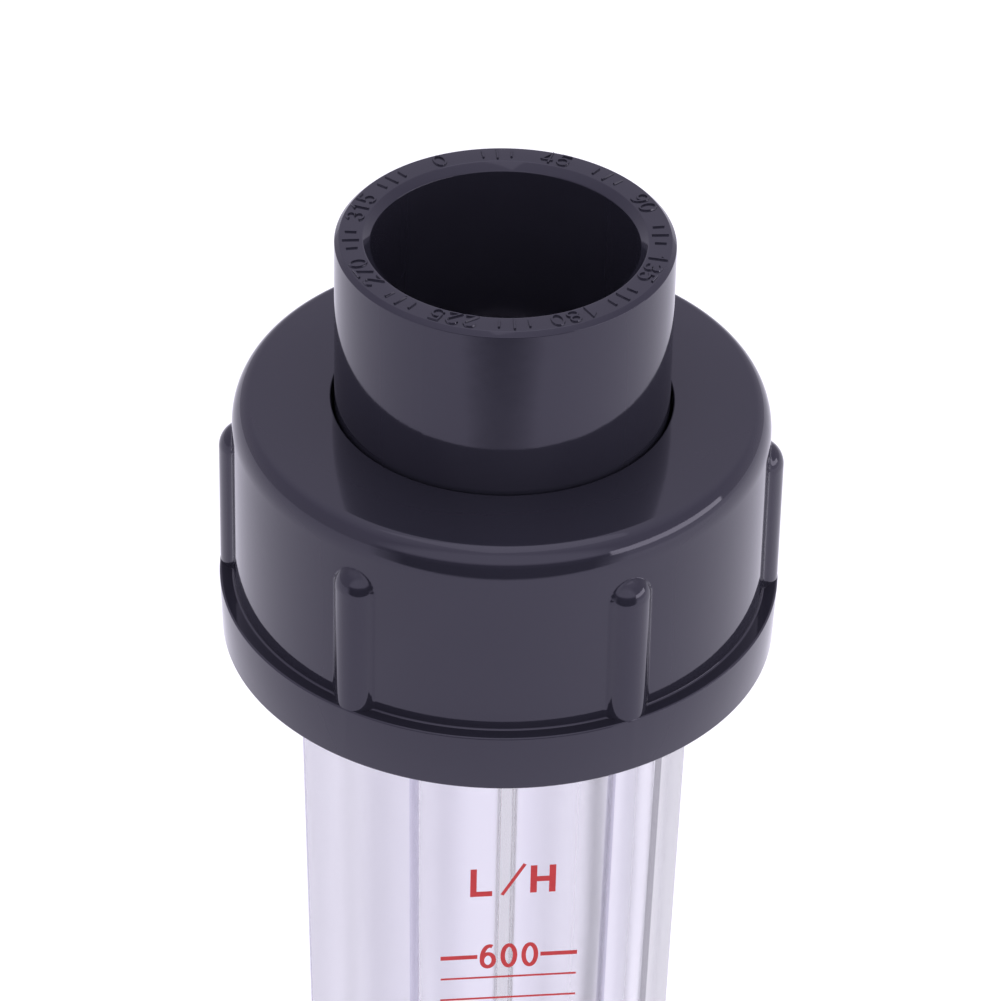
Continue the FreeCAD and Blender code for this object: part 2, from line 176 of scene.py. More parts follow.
def outline(corners, steps):
    """A closed outline from (radius, height, rounding, step): arcs at its corners, long runs divided."""
    points = []
    total = len(corners)
    for index, (radius, height, rounding, step) in enumerate(corners):
        here = Vector((radius, height))
        before = Vector(corners[index - 1][:2])
        after = Vector(corners[(index + 1) % total][:2])
        if rounding:
            into = (here - before).normalized()
            out = (after - here).normalized()
            bend = into.angle(out)
            reach = rounding * math.tan(bend / 2)
            start, end = here - into * reach, here + out * reach
            inward = (out - into).normalized()
            centre = here + inward * (rounding / math.cos(bend / 2))
            arc = [centre + (start - centre).lerp(end - centre, t / steps).normalized() * rounding
                   for t in range(steps + 1)]
            points.extend(arc)
        else:
            points.append(here)
        if step:
            far_rounding = corners[(index + 1) % total][2]
            finish = after
            if far_rounding:
                beyond = Vector(corners[(index + 2) % total][:2])
                bend = (after - here).angle(beyond - after)
                finish = after - (after - here).normalized() * far_rounding * math.tan(bend / 2)
            begin = points[-1].copy()
            run = finish - begin
            parts = max(1, math.ceil(run.length / step))
            points.extend([begin + run * (t / parts) for t in range(1, parts)])
    return [(p.x, p.y) for p in points]


def turned_piece(name, profile, angles, place, shape):
    """A turned skin from a closed outline; shape(radius, angle, height, point) gives a point's radius."""
    loops = []
    for radius, height in profile:
        loop = []
        for angle in angles:
            shaped = shape(radius, angle, height, place(radius, angle, height))
            loop.append(place(shaped, angle, height))
        loops.append(loop)
    return loops_mesh(name, loops)


def upright(base, turn=0.0):
    """Places (radius, angle, height) upright from a base height, turned about the axis."""
    def place(radius, angle, height):
        return (radius * math.cos(angle + turn), radius * math.sin(angle + turn), base + height)
    return place


def hanging(base, turn=0.0):
    """Places (radius, angle, height) upside down from a base height: half a turn about a level line."""
    def place(radius, angle, height):
        around = 2 * turn - angle
        return (radius * math.cos(around), radius * math.sin(around), base - height)
    return place


def thread_ridge(point, phase):
    """1 on a thread's crest, 0 in its root, for a right-hand helix through the point's place."""
    around = math.atan2(point[1], point[0]) / TURN
    rise = point[2] / THREAD_PITCH - around - phase
    offset = abs(rise - round(rise)) * THREAD_PITCH
    return 1 - smoothstep(THREAD_CREST_HALF, THREAD_ROOT_HALF, offset)


def thread_fade(height, low, high):
    """1 along a thread from low to high, falling to 0 over its run-out at both ends."""
    fade = smoothstep(low, low + THREAD_RUNOUT, height)
    return fade * (1 - smoothstep(high - THREAD_RUNOUT, high, height))


# ---------------------------------------------------------------- the clear tube

CORNER_STEPS = 8
SIDE_STEPS = 30
THREAD_LEVELS = 78
# Each sector of the bore starts this much before the hexagon's corner, as the corner's rounding does.
BORE_LAG = math.radians(1.8)
GUIDE_TIP_ROUND = 0.18 * MM
GUIDE_FOOT_ROUND = 0.3 * MM
GUIDE_ROUND_DEPTH = 1.0 * MM
GUIDE_LEAST_SHARE = 0.05


def bore_radius(height):
    """Radius of the tapered bore at a height in the frame."""
    share = (height - TUBE_FOOT - SCALE_START) / SCALE_SPAN
    return min(max(BORE_LOWER + (BORE_UPPER - BORE_LOWER) * share, BORE_LOWER), BORE_UPPER)


def hexagon_radius(height):
    """Corner radius of the hexagonal column at a height in the frame."""
    share = (height - HEX_FOOT) / (HEX_TOP - HEX_FOOT)
    return HEXAGON_LOWER + (HEXAGON_UPPER - HEXAGON_LOWER) * share


def hexagon_outline(reach):
    """Points around a hexagon with rounded corners, one corner on +X."""
    points = []
    centre_reach = reach - HEXAGON_ROUND / math.cos(math.radians(30))
    for corner in range(6):
        middle = corner * TURN / 6
        centre = Vector((math.cos(middle), math.sin(middle))) * centre_reach
        for step in range(CORNER_STEPS + 1):
            angle = middle + math.radians(60) * (step / CORNER_STEPS - 0.5)
            points.append(centre + Vector((math.cos(angle), math.sin(angle))) * HEXAGON_ROUND)
        start = points[-1]
        coming = middle + TURN / 6
        end = Vector((math.cos(coming), math.sin(coming))) * centre_reach
        end = end + Vector((math.cos(coming - TURN / 12), math.sin(coming - TURN / 12))) * HEXAGON_ROUND
        points.extend(start.lerp(end, step / SIDE_STEPS) for step in range(1, SIDE_STEPS))
    return points


RING_ANGLES = [math.atan2(p.y, p.x) for p in hexagon_outline((HEXAGON_UPPER + HEXAGON_LOWER) / 2)]


def hexagon_loop(height):
    """The column's outline at a height."""
    return [(p.x, p.y, height) for p in hexagon_outline(hexagon_radius(height))]


def circle_loop(radius, height):
    """A circle with as many points as the hexagon's outline."""
    return [(radius * math.cos(a), radius * math.sin(a), height) for a in RING_ANGLES]


def thread_loop(height, low, high):
    """The collar's outline at a height, with its thread."""
    loop = []
    fade = thread_fade(height, low, high)
    for angle in RING_ANGLES:
        point = (math.cos(angle), math.sin(angle), height)
        radius = COLLAR_RADIUS + (MALE_CREST - COLLAR_RADIUS) * fade * thread_ridge(point, 0.0)
        loop.append((radius * point[0], radius * point[1], height))
    return loop


def guide_outline(bore):
    """Half of a guide rib's outline as (across, out), from the bore's wall in to the rib's tip."""
    half = GUIDE_WIDTH / 2
    # A shallower rib has smaller roundings.
    share = min(1.0, max(GUIDE_LEAST_SHARE, (bore - GUIDE_RADIUS) / GUIDE_ROUND_DEPTH))
    tip_round, foot_round = GUIDE_TIP_ROUND * share, GUIDE_FOOT_ROUND * share
    foot = math.sqrt(bore ** 2 - (half + foot_round) ** 2)
    quarter = [(math.sin(math.radians(30 * step)), math.cos(math.radians(30 * step))) for step in range(4)]
    side = [(half + foot_round * (1 - s), foot - foot_round * (1 - c)) for s, c in quarter]
    side += [(half - tip_round * (1 - c), GUIDE_RADIUS + tip_round * (1 - s)) for s, c in quarter]
    return side


def bore_arc(bore, height, start, end, count):
    """Points on the bore's circle from one angle up to another, which is left out."""
    angles = [start + (end - start) * step / count for step in range(count)]
    return [(bore * math.cos(a), bore * math.sin(a), height) for a in angles]


def bore_loop(bore, height):
    """The bore's outline with its three guide ribs, as many points as the hexagon's outline."""
    side = guide_outline(bore)
    rib = [(-a, out) for a, out in side] + [(a, out) for a, out in reversed(side)]
    rib_edge = math.atan2(side[0][0], side[0][1])
    per_side = CORNER_STEPS + SIDE_STEPS
    plain = per_side - len(rib)
    before = plain // 2 + CORNER_STEPS // 2
    after = plain - before
    points = []
    for sector in range(6):
        middle = (sector + 0.5) * TURN / 6
        start = middle - TURN / 12 - BORE_LAG
        end = middle + TURN / 12 - BORE_LAG
        if sector % 2:
            points.extend(bore_arc(bore, height, start, end, per_side))
        else:
            points.extend(bore_arc(bore, height, start, middle - rib_edge, before))
            points.extend((out * math.cos(middle) - a * math.sin(middle),
                           out * math.sin(middle) + a * math.cos(middle), height) for a, out in rib)
            points.extend(bore_arc(bore, height, middle + rib_edge, end, after + 1)[1:])
    return points


def clear_tube():
    """The measuring tube as one closed skin: ribbed bore, seats, threaded collars, hexagonal column."""
    top, foot = TUBE_TOP, TUBE_FOOT
    run = COLLAR_LENGTH - COLLAR_LEAD
    steps = [run * step / THREAD_LEVELS for step in range(THREAD_LEVELS + 1)]
    loops = [
        bore_loop(BORE_LOWER, foot + RECESS_DEPTH),
        bore_loop(BORE_LOWER, foot + SCALE_START),
        bore_loop(BORE_UPPER, foot + SCALE_START + SCALE_SPAN),
        bore_loop(BORE_UPPER, top - RECESS_DEPTH),
        circle_loop(RECESS_RADIUS, top - RECESS_DEPTH),
        circle_loop(RECESS_RADIUS, top),
        circle_loop(GROOVE_INNER, top),
        circle_loop(GROOVE_INNER, top - GROOVE_DEPTH),
        circle_loop(GROOVE_OUTER, top - GROOVE_DEPTH),
        circle_loop(GROOVE_OUTER, top),
        circle_loop(COLLAR_RADIUS - COLLAR_LEAD, top),
        *[thread_loop(top - COLLAR_LEAD - step, HEX_TOP, top - COLLAR_LEAD) for step in steps],
        hexagon_loop(HEX_TOP),
        hexagon_loop(HEX_FOOT),
        *[thread_loop(HEX_FOOT - step, foot + COLLAR_LEAD, HEX_FOOT) for step in steps],
        circle_loop(COLLAR_RADIUS - COLLAR_LEAD, foot),
        circle_loop(GROOVE_OUTER, foot),
        circle_loop(GROOVE_OUTER, foot + GROOVE_DEPTH),
        circle_loop(GROOVE_INNER, foot + GROOVE_DEPTH),
        circle_loop(GROOVE_INNER, foot),
        circle_loop(RECESS_RADIUS, foot),
        circle_loop(RECESS_RADIUS, foot + RECESS_DEPTH),
    ]
    return loops_mesh("clear_tube_body", loops, 25)


# ---------------------------------------------------------------- union nuts

GRIP_ARC_HALF = math.radians(5.4)
GRIP_STEPS = 28
WALL_STEPS = 22
NUT_ROUND_STEPS = 12
# A nut's skin further out than this is its outer wall.
NUT_WALL_FROM = 19.0 * MM
GRIP_SINK = 0.3 * MM
GRIP_BLEND = 0.12 * MM
NUT_LEAD = 0.8 * MM
NUT_THREAD_LOW = 1.0 * MM
NUT_THREAD_HIGH = 12.2 * MM
NUT_THREAD_PHASE = 0.5


def grip_angles():
    """Angles around a nut, close together over its six ribs."""
    angles = []
    sector = TURN / GRIP_COUNT
    free = sector - 2 * GRIP_ARC_HALF
    for rib in range(GRIP_COUNT):
        start = rib * sector - GRIP_ARC_HALF
        angles.extend(start + 2 * GRIP_ARC_HALF * step / GRIP_STEPS for step in range(GRIP_STEPS))
        angles.extend(start + 2 * GRIP_ARC_HALF + free * step / WALL_STEPS for step in range(WALL_STEPS))
    return angles


def soft_max(a, b, blend):
    """The larger of two numbers, with a rounded change over between them."""
    share = max(blend - abs(a - b), 0.0) / blend
    return max(a, b) + share * share * blend / 4


def grip_radius(radius, angle, height):
    """The outer wall's radius, or a grip rib's where that stands further out."""
    sector = TURN / GRIP_COUNT
    offset = (angle + sector / 2) % sector - sector / 2
    across = radius * math.sin(offset)
    nose = max(0.0, height - (NUT_HEIGHT - GRIP_DROP - GRIP_NOSE)) * GRIP_RADIUS / GRIP_NOSE
    left = GRIP_RADIUS ** 2 - across ** 2 - nose ** 2
    if left <= 0:
        return radius
    return soft_max(radius, GRIP_CENTRE * math.cos(offset) + math.sqrt(left), GRIP_BLEND)


def nut_shape(radius, angle, height, point):
    """A nut's radius with its grip ribs outside and its thread inside."""
    if radius > NUT_WALL_FROM and height > NUT_FLANGE_HEIGHT - GRIP_SINK:
        return grip_radius(radius, angle, height)
    if abs(radius - NUT_BORE) < SAME_RADIUS:
        fade = thread_fade(height, NUT_THREAD_LOW, NUT_THREAD_HIGH)
        return radius - (NUT_BORE - FEMALE_CREST) * fade * thread_ridge(point, NUT_THREAD_PHASE)
    return radius


def union_nut(name, place):
    """A union nut: threaded bore, bottom flange, tapered wall with half-round ribs, rounded top."""
    nose_foot = NUT_HEIGHT - GRIP_DROP - GRIP_NOSE
    share = (nose_foot - NUT_FLANGE_HEIGHT) / (NUT_HEIGHT - NUT_FLANGE_HEIGHT)
    wall_at_nose = NUT_WALL_LOWER + (NUT_WALL_UPPER - NUT_WALL_LOWER) * share
    top_round = []
    for step in range(NUT_ROUND_STEPS + 1):
        turn = TURN / 4 * step / NUT_ROUND_STEPS
        top_round.append((NUT_WALL_UPPER - NUT_TOP_INSET * (1 - math.cos(turn)),
                          NUT_HEIGHT - NUT_TOP_DROP * (1 - math.sin(turn)), 0, 0))
    profile = outline([
        (NUT_BORE + NUT_LEAD, 0, 0.12 * MM, 0),
        (NUT_FLANGE - NUT_FLANGE_DRAFT, 0, 0.18 * MM, 0),
        (NUT_FLANGE, NUT_FLANGE_HEIGHT, 0.14 * MM, 0.1 * MM),
        (NUT_WALL_LOWER, NUT_FLANGE_HEIGHT, 0.16 * MM, 0.6 * MM),
        (wall_at_nose, nose_foot, 0, 0.09 * MM),
        *top_round,
        (NUT_HOLE, NUT_HEIGHT, 0.12 * MM, 0),
        (NUT_HOLE, NUT_HEIGHT - NUT_ROOF, 0, 0),
        (NUT_BORE, NUT_HEIGHT - NUT_ROOF, 0.3 * MM, 0.16 * MM),
        (NUT_BORE, NUT_LEAD, 0, 0),
    ], 8)
    return turned_piece(name, profile, grip_angles(), place, nut_shape)


# ---------------------------------------------------------------- tailpieces

TAIL_STEPS = 240
SEAM_ANGLES = (math.radians(-123.8), math.radians(56.2))
SEAM_HALF = math.radians(0.8)
SEAM_HEIGHT = 0.006 * MM
SAME_ANGLE = 1e-6


def tail_angles():
    """Angles around a tailpiece, with three of their own at each mould seam."""
    angles = [TURN * step / TAIL_STEPS - math.pi for step in range(TAIL_STEPS)]
    for seam in SEAM_ANGLES:
        angles = [a for a in angles if abs(a - seam) > 2 * SEAM_HALF]
        angles.extend((seam - SEAM_HALF, seam, seam + SEAM_HALF))
    return sorted(angles)


def tail_shape(radius, angle, height, point):
    """A tailpiece's radius, with a faint mould seam on two sides of the barrel."""
    on_barrel = abs(radius - SPIGOT_RADIUS) < SAME_RADIUS
    if on_barrel and min(abs(angle - seam) for seam in SEAM_ANGLES) < SAME_ANGLE:
        return radius + SEAM_HEIGHT
    return radius


def tailpiece(name, place):
    """A socket tailpiece; its rim is lower by the height of the raised marks on it."""
    rim = TAIL_LENGTH - RIM_MARK_HEIGHT
    shoulder = SHOULDER_THICKNESS
    profile = outline([
        (PASSAGE_RADIUS, 0, 0, 0),
        (SHOULDER_RADIUS, 0, 0.15 * MM, 0),
        (SHOULDER_RADIUS, shoulder, 0.15 * MM, 0),
        (SPIGOT_RADIUS, shoulder, 0.2 * MM, 0),
        (SPIGOT_RADIUS, rim - RIM_CHAMFER, 0.12 * MM, 0),
        (SPIGOT_RADIUS - RIM_CHAMFER, rim, 0.12 * MM, 0),
        (SOCKET_RADIUS + SOCKET_CHAMFER, rim, 0.2 * MM, 0),
        (SOCKET_RADIUS, rim - SOCKET_CHAMFER, 0.25 * MM, 0),
        (SOCKET_RADIUS, TAIL_LENGTH - SOCKET_DEPTH, 0.2 * MM, 0),
        (PASSAGE_RADIUS, TAIL_LENGTH - SOCKET_DEPTH, 0.2 * MM, 0),
    ], 6)
    return turned_piece(name, profile, tail_angles(), place, tail_shape)


# ---------------------------------------------------------------- strokes: print and raised marks

def arc_points(cx, cy, rx, ry, start, end, steps=14):
    """Points along an ellipse's arc, angles in degrees."""
    points = []
    for step in range(steps + 1):
        angle = math.radians(start + (end - start) * step / steps)
        points.append((cx + rx * math.cos(angle), cy + ry * math.sin(angle)))
    return points


def oval(cx, cy, rx, ry):
    """A closed rounded loop, marked closed by repeating its first point."""
    return arc_points(cx, cy, rx, ry, 90, 450, 28)


STROKE_END_SHARE = 0.35
MITRE_LEAST = 0.5
SAME_POINT = 1e-9
# Each stroke of a character is this share lower than the one before, so that no two share a face.
STROKE_DROP = 0.05

# Strokes of each character in a box 1 wide and 1 high, as lists of points.
GLYPHS = {
    "0": [oval(0.5, 0.5, 0.5, 0.5)],
    "1": [[(0.2, 0.78), (0.55, 1.0), (0.55, 0.0)]],
    "2": [arc_points(0.5, 0.71, 0.47, 0.29, 165, -35) + [(0.0, 0.0), (1.0, 0.0)]],
    "3": [arc_points(0.48, 0.75, 0.45, 0.25, 160, -90) + arc_points(0.48, 0.26, 0.5, 0.26, 90, -160)[1:]],
    "4": [[(0.75, 0.0), (0.75, 1.0), (0.0, 0.3)], [(0.0, 0.3), (1.0, 0.3)]],
    "5": [[(0.92, 1.0), (0.14, 1.0), (0.08, 0.55)] + arc_points(0.48, 0.33, 0.5, 0.33, 125, -155)],
    "6": [oval(0.5, 0.31, 0.48, 0.31), arc_points(0.62, 0.42, 0.6, 0.58, 75, 185)],
    "7": [[(0.0, 1.0), (1.0, 1.0), (0.35, 0.0)]],
    "8": [oval(0.5, 0.75, 0.42, 0.25), oval(0.5, 0.25, 0.5, 0.25)],
    "9": [oval(0.5, 0.69, 0.48, 0.31), arc_points(0.38, 0.58, 0.6, 0.58, 255, 365)],
    "L": [[(0.08, 1.0), (0.08, 0.0), (1.0, 0.0)]],
    "/": [[(0.0, 0.0), (1.0, 1.0)]],
    "H": [[(0.1, 1.0), (0.1, 0.0)], [(0.9, 1.0), (0.9, 0.0)], [(0.1, 0.5), (0.9, 0.5)]],
}


def stroke_edges(points, half):
    """Left and right edges of a stroke of a given half width, mitred at its bends."""
    closed = (Vector(points[0]) - Vector(points[-1])).length < SAME_POINT
    path = [Vector(p) for p in (points[:-1] if closed else points)]
    total = len(path)
    left, right = [], []
    for index, here in enumerate(path):
        before = path[index - 1] if closed or index else here
        after = path[(index + 1) % total] if closed or index < total - 1 else here
        into = (here - before).normalized() if (here - before).length else (after - here).normalized()
        out = (after - here).normalized() if (after - here).length else into
        normal_in, normal_out = Vector((-into.y, into.x)), Vector((-out.y, out.x))
        mitre = (normal_in + normal_out).normalized()
        reach = half / max(MITRE_LEAST, mitre.dot(normal_in))
        left.append(here + mitre * reach)
        right.append(here - mitre * reach)
    if not closed:
        ends = ((0, path[0] - path[1]), (-1, path[-1] - path[-2]))
        for index, way in ends:
            push = way.normalized() * half * STROKE_END_SHARE
            left[index] = left[index] + push
            right[index] = right[index] + push
    return left, right, closed


def stroke_solid(vertices, faces, points, half, place, height, draft=1.0):
    """Adds one stroke as a thin closed solid; draft narrows its raised face."""
    left, right, closed = stroke_edges(points, half)
    base = len(vertices)
    for a, b in zip(left, right):
        middle = (a + b) / 2
        for edge, lift, share in ((a, 0, 1), (b, 0, 1), (b, height, draft), (a, height, draft)):
            here = middle.lerp(edge, share)
            vertices.append(place(here.x, here.y, lift))
    total = len(left)
    for row in range(total if closed else total - 1):
        following = (row + 1) % total
        for corner in range(4):
            turn = (corner + 1) % 4
            faces.append((base + row * 4 + corner, base + following * 4 + corner,
                          base + following * 4 + turn, base + row * 4 + turn))
    if not closed:
        faces.append((base, base + 1, base + 2, base + 3))
        last = base + (total - 1) * 4
        faces.append((last + 3, last + 2, last + 1, last))


def add_text(vertices, faces, text, centre, foot, width, height, gap, half, place, lift, draft=1.0):
    """Adds a line of characters, centred, with its foot at a height."""
    pitch = width + gap
    start = centre - (len(text) * pitch - gap) / 2
    for index, character in enumerate(text):
        for order, stroke in enumerate(GLYPHS[character]):
            points = [(start + index * pitch + x * width, foot + y * height) for x, y in stroke]
            stroke_solid(vertices, faces, points, half, place, lift * (1 - STROKE_DROP * order), draft)


def on_scale_face(across, height, lift):
    """A point on the tube's front face: across in x, height in the frame, lifted off the plastic."""
    apothem = hexagon_radius(height) * math.cos(math.radians(30))
    return (across, -apothem - PRINT_LIFT - lift, height)


SCALE_MAXIMUM = 600
SCALE_MINIMUM = 60
SCALE_DIVISION = 10
SCALE_HALF = 5.35 * MM
DIGIT_WIDTH = 0.98 * MM
DIGIT_HEIGHT = 2.17 * MM
DIGIT_GAP = 0.68 * MM
DIGIT_HALF = 0.18 * MM
DASH_HALF = 0.2 * MM
DASH_GAP = 0.42 * MM
LINE_HALF = 0.09 * MM
THICK_LINE_SHARE = 1.5
UNIT_FOOT = 6.55 * MM
# The unit's characters: centre, foot above the unit's foot, width, height, half the stroke.
UNIT = (
    ("L", -2.29 * MM, 0.0, 1.52 * MM, 2.48 * MM, 0.25 * MM),
    ("/", 0.21 * MM, -0.15 * MM, 1.7 * MM, 3.0 * MM, 0.14 * MM),
    ("H", 2.54 * MM, 0.0, 1.85 * MM, 2.6 * MM, 0.26 * MM),
)


def scale_print():
    """The red scale: unit on top, a line each 10, numbers between dashes each 100 and at the foot."""
    vertices, faces = [], []
    low = TUBE_FOOT + SCALE_START
    top = low + SCALE_SPAN

    def stroke(points, half):
        stroke_solid(vertices, faces, points, half, on_scale_face, PRINT_THICKNESS)

    for value in range(SCALE_MINIMUM, SCALE_MAXIMUM + 1, SCALE_DIVISION):
        height = low + SCALE_SPAN * (value - SCALE_MINIMUM) / (SCALE_MAXIMUM - SCALE_MINIMUM)
        if value % 100 == 0 or value == SCALE_MINIMUM:
            text = str(value)
            room = (len(text) * (DIGIT_WIDTH + DIGIT_GAP) - DIGIT_GAP) / 2 + DASH_GAP
            stroke([(-SCALE_HALF, height), (-room, height)], DASH_HALF)
            stroke([(room, height), (SCALE_HALF, height)], DASH_HALF)
            add_text(vertices, faces, text, 0, height - DIGIT_HEIGHT / 2, DIGIT_WIDTH, DIGIT_HEIGHT,
                     DIGIT_GAP, DIGIT_HALF, on_scale_face, PRINT_THICKNESS)
        else:
            thick = THICK_LINE_SHARE if value % 50 == 0 else 1.0
            stroke([(-SCALE_HALF, height), (SCALE_HALF, height)], LINE_HALF * thick)
    for text, centre, raised, width, height, half in UNIT:
        add_text(vertices, faces, text, centre, top + UNIT_FOOT + raised, width, height, 0, half,
                 on_scale_face, PRINT_THICKNESS)
    return mesh_object("scale_print", vertices, faces, 30)


RIM_NUMBERS = 8
RIM_NUMBER_STEP = 45
RIM_FIRST_ANGLE = 110
RIM_DIGIT_WIDTH = 0.85 * MM
RIM_DIGIT_HEIGHT = 1.28 * MM
RIM_DIGIT_GAP = 0.45 * MM
RIM_DIGIT_HALF = 0.12 * MM
TICK_STEP = 5.5
TICK_HALF = 0.11 * MM
# Half the length of the three strokes between two numbers.
TICK_REACHES = (0.4 * MM, 0.6 * MM, 0.4 * MM)
RIM_MARK_SINK = 0.05 * MM
RIM_MARK_DRAFT = 0.55


def rim_marks(name, rim, flip):
    """Raised plain numbers each 45 degrees and short strokes between them, around a socket's rim."""
    vertices, faces = [], []
    middle = (SPIGOT_RADIUS - RIM_CHAMFER + SOCKET_RADIUS + SOCKET_CHAMFER) / 2
    lifted = RIM_MARK_HEIGHT + RIM_MARK_SINK

    def place_at(angle):
        def place(across, out, lift):
            around = angle - across / middle
            radius = middle + out
            height = lift - RIM_MARK_SINK
            y = radius * math.sin(around)
            return (radius * math.cos(around), -y if flip else y, rim - height if flip else rim + height)
        return place

    for number in range(RIM_NUMBERS):
        turned = RIM_NUMBER_STEP * number
        add_text(vertices, faces, str(turned), 0, -RIM_DIGIT_HEIGHT / 2, RIM_DIGIT_WIDTH,
                 RIM_DIGIT_HEIGHT, RIM_DIGIT_GAP, RIM_DIGIT_HALF,
                 place_at(math.radians(RIM_FIRST_ANGLE - turned)), lifted, RIM_MARK_DRAFT)
        for tick, reach in enumerate(TICK_REACHES):
            past = RIM_NUMBER_STEP / 2 + TICK_STEP * (tick - 1)
            stroke_solid(vertices, faces, [(0, -reach), (0, reach)], TICK_HALF,
                         place_at(math.radians(RIM_FIRST_ANGLE - turned - past)), lifted, RIM_MARK_DRAFT)
    return mesh_object(name, vertices, faces, 20)


# ---------------------------------------------------------------- materials

def rgb(red, green, blue):
    """A linear colour with full alpha."""
    return (red, green, blue, 1.0)


WHITE = rgb(1.0, 1.0, 1.0)
# Each plastic, metal or ink varies between two colours.
CHARCOAL = (rgb(0.0205, 0.0197, 0.0285), rgb(0.0230, 0.0221, 0.0318))
CHARCOAL_SHEEN = rgb(0.85, 0.81, 1.0)
CLEAR_TINT = (rgb(0.955, 0.95, 0.975), rgb(0.965, 0.96, 0.98))
# Painted shade: a darker copy of the clear plastic for the column's corners.
CORNER_PAINTED_SHADE = (rgb(0.52, 0.50, 0.62), rgb(0.57, 0.55, 0.67))
# Painted shade: a greenish-grey copy of the clear plastic for the front guide rib and the paler strip of
# the right-hand side.
GUIDE_PAINTED_SHADE = (rgb(0.66, 0.67, 0.62), rgb(0.72, 0.73, 0.68))
# Painted shade: a dark copy of the clear plastic for a strip of the right-hand side.
BAND_PAINTED_SHADE = (rgb(0.125, 0.123, 0.128), rgb(0.16, 0.157, 0.163))
RED_INK = (rgb(0.56, 0.024, 0.024), rgb(0.64, 0.034, 0.034))
STEEL = (rgb(0.54, 0.53, 0.52), rgb(0.66, 0.65, 0.635))
RUBBER = (rgb(0.010, 0.010, 0.011), rgb(0.018, 0.018, 0.019))
STOP_WHITE = (rgb(0.74, 0.74, 0.73), rgb(0.80, 0.80, 0.79))
CHARCOAL_IOR = 1.54
CLEAR_IOR = 1.3
# Roughness of the tube's finishes, and the heights between which its bore turns satin.
CORNER_ROUGH = 0.25
GUIDE_ROUGH = 0.25
SATIN_ROUGH = 0.5
FLOW_ROUGH_SPREAD = 0.012
BORE_ROUGH = 0.4
BORE_CLEAR_ROUGH = 0.05
BORE_CLEAR_TO = 120 * MM
BORE_SATIN_FROM = 165 * MM
# A noise value mostly lies between these two.
NOISE_LOW = 0.3
NOISE_HIGH = 0.7


class Nodes:
    """Short calls for building a node tree, where a value is a constant or another node's output."""

    def __init__(self, tree):
        self.tree = tree

    def feed(self, socket, value):
        """Links an output to a socket, or sets a constant on it."""
        if isinstance(value, bpy.types.NodeSocket):
            self.tree.links.new(value, socket)
        else:
            socket.default_value = value

    def add(self, kind, **inputs):
        """A node with its inputs fed by name."""
        node = self.tree.nodes.new(kind)
        for key, value in inputs.items():
            self.feed(node.inputs[key.replace("_", " ")], value)
        return node

    def operate(self, kind, operation, *values):
        """A node with an operation and its inputs fed in order."""
        node = self.tree.nodes.new(kind)
        node.operation = operation
        for index, value in enumerate(values):
            self.feed(node.inputs[index], value)
        return node

    def calculate(self, operation, first, second, clamp=False):
        """The result of a sum on two numbers."""
        node = self.operate("ShaderNodeMath", operation, first, second)
        node.use_clamp = clamp
        return node.outputs["Value"]

    def along(self, vector, direction):
        """How far a vector points along a direction."""
        return self.operate("ShaderNodeVectorMath", "DOT_PRODUCT", vector, direction).outputs["Value"]

    def unit(self, vector):
        """A vector brought to length one."""
        return self.operate("ShaderNodeVectorMath", "NORMALIZE", vector).outputs["Vector"]

    def mix(self, factor, low, high):
        """A colour from low to high by a factor."""
        node = self.tree.nodes.new("ShaderNodeMix")
        node.data_type = "RGBA"
        for name, value in (("Factor", factor), ("A", low), ("B", high)):
            self.feed(node.inputs[name], value)
        return node.outputs["Result"]

    def place(self):
        """Object coordinates, which are the frame's own metres."""
        return self.add("ShaderNodeTexCoord").outputs["Object"]

    def rays(self):
        """Whether the ray comes from the camera, a reflection, or through clear plastic."""
        outputs = self.add("ShaderNodeLightPath").outputs
        return outputs["Is Camera Ray"], outputs["Is Glossy Ray"], outputs["Is Transmission Ray"]

    def noise(self, scale, detail=3.0, rough=0.5, stretch=None):
        """A noise value over the frame, its scale in cells per metre."""
        source = self.place()
        if stretch:
            source = self.add("ShaderNodeMapping", Vector=source, Scale=stretch).outputs["Vector"]
        node = self.add("ShaderNodeTexNoise", Vector=source, Scale=scale, Detail=detail, Roughness=rough)
        return node.outputs["Fac"]

    def ramp(self, value, low, high, start=NOISE_LOW, end=NOISE_HIGH, middle=None):
        """A colour between two as value goes from start to end; middle adds one on the way."""
        node = self.add("ShaderNodeValToRGB", Fac=value)
        elements = node.color_ramp.elements
        elements[0].position = start
        elements[0].color = low
        elements[1].position = end
        elements[1].color = high
        if middle:
            position, colour = middle
            elements.new(position).color = colour
        return node.outputs["Color"]

    def span(self, value, start, end, low=0.0, high=1.0):
        """A number from low to high as value goes from start to end."""
        node = self.add("ShaderNodeMapRange", Value=value, From_Min=start, From_Max=end,
                        To_Min=low, To_Max=high)
        return node.outputs["Result"]

    def between(self, noise, low, high):
        """A number from low to high over the usual range of a noise value."""
        return self.span(noise, NOISE_LOW, NOISE_HIGH, low, high)

    def bump(self, height, strength, distance, normal=None):
        """A bump from a height value, on top of another bump if one is given."""
        node = self.add("ShaderNodeBump", Height=height, Strength=strength, Distance=distance)
        if normal:
            self.feed(node.inputs["Normal"], normal)
        return node.outputs["Normal"]


class Surface(Nodes):
    """The nodes of one new material."""

    def __init__(self, name):
        self.material = bpy.data.materials.new(name)
        self.material.use_nodes = True
        super().__init__(self.material.node_tree)
        self.shader = self.tree.nodes["Principled BSDF"]

    def set(self, **inputs):
        """Feeds the shader's own sockets by name."""
        for key, value in inputs.items():
            self.feed(self.shader.inputs[key.replace("_", " ")], value)


